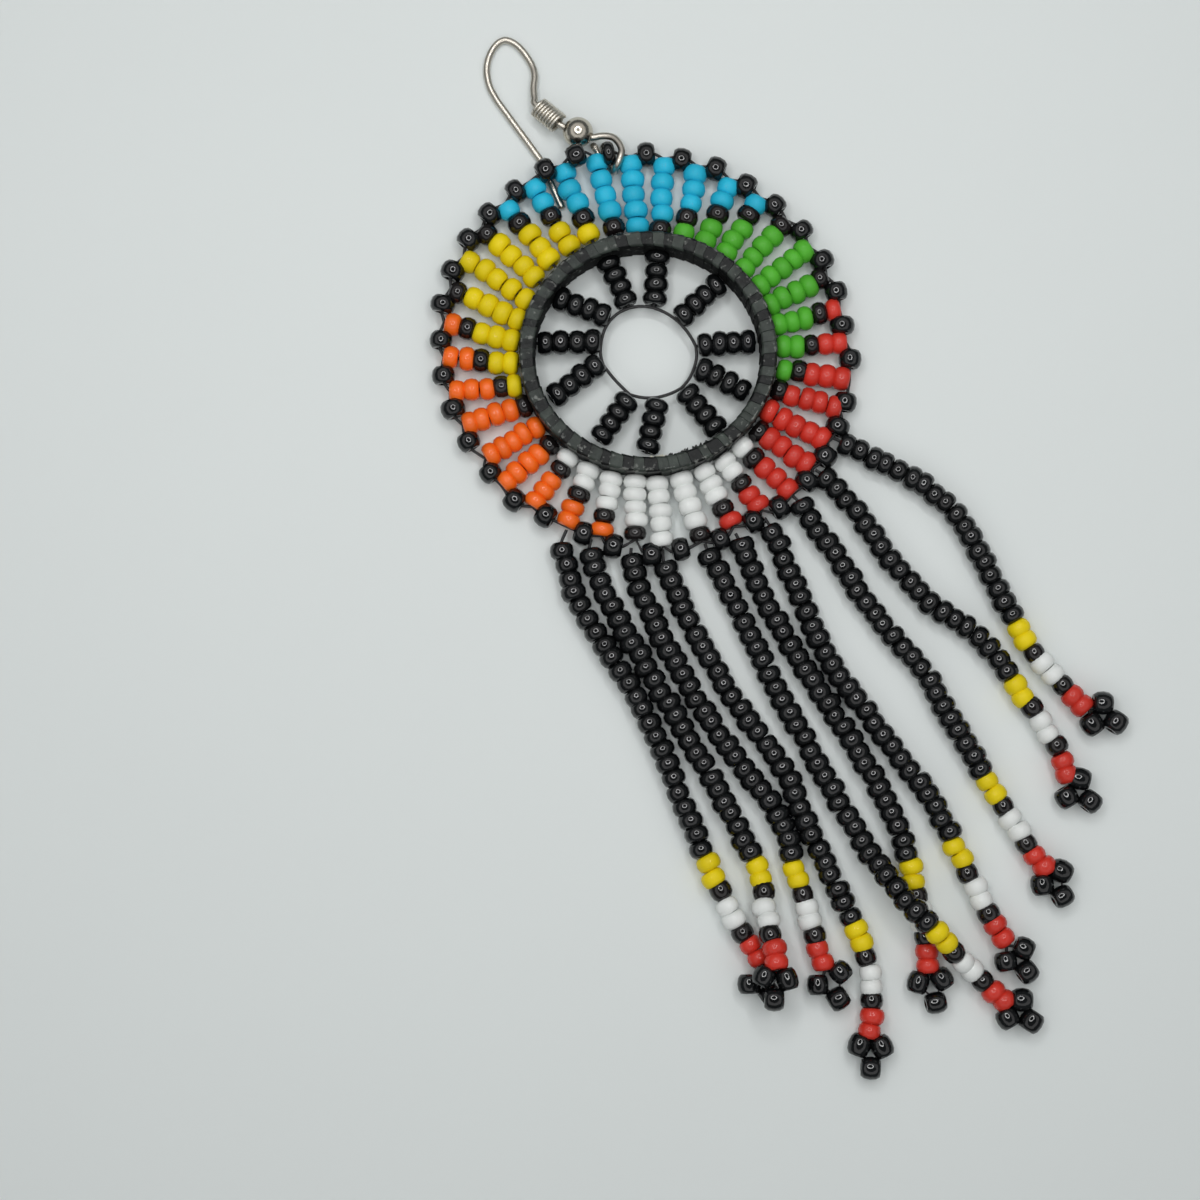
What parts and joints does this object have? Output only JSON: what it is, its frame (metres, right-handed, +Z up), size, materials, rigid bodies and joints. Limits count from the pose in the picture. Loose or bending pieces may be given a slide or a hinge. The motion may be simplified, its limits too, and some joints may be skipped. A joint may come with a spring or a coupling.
{
  "type": "beaded hoop earring",
  "caption": "Beaded earring lying flat: a taped hoop with a band of coloured seed beads, spokes inside, a bead fringe and a steel ear wire.",
  "frame": {"origin": "bottom centre of the part's box, on the table that the earring lies on", "axes": "+Z up from the table; +Y from the fringe towards the ear wire"},
  "size_m": [0.0748, 0.1126, 0.0053],
  "materials": {
    "steel": "polished steel wire, lightly worn",
    "tape": "semi-gloss black plastic tape in flat turns, scuffed",
    "band_beads": "opaque glass seed beads in eight colours",
    "spoke_beads": "glossy black glass seed beads",
    "fringe_beads": "glossy black glass seed beads with yellow, white and red ends"
  },
  "bodies": {
    "root": {"ear_wire": "steel", "ball_bead": "steel", "wire_coil": "steel", "hoop": "tape", "bead_web": "band_beads", "inner_web": "spoke_beads", "strand_1": "fringe_beads", "strand_2": "fringe_beads", "strand_3": "fringe_beads", "strand_4": "fringe_beads", "strand_5": "fringe_beads", "strand_6": "fringe_beads", "strand_7": "fringe_beads", "strand_8": "fringe_beads", "strand_9": "fringe_beads", "strand_10": "fringe_beads"}
  },
  "joints": []
}
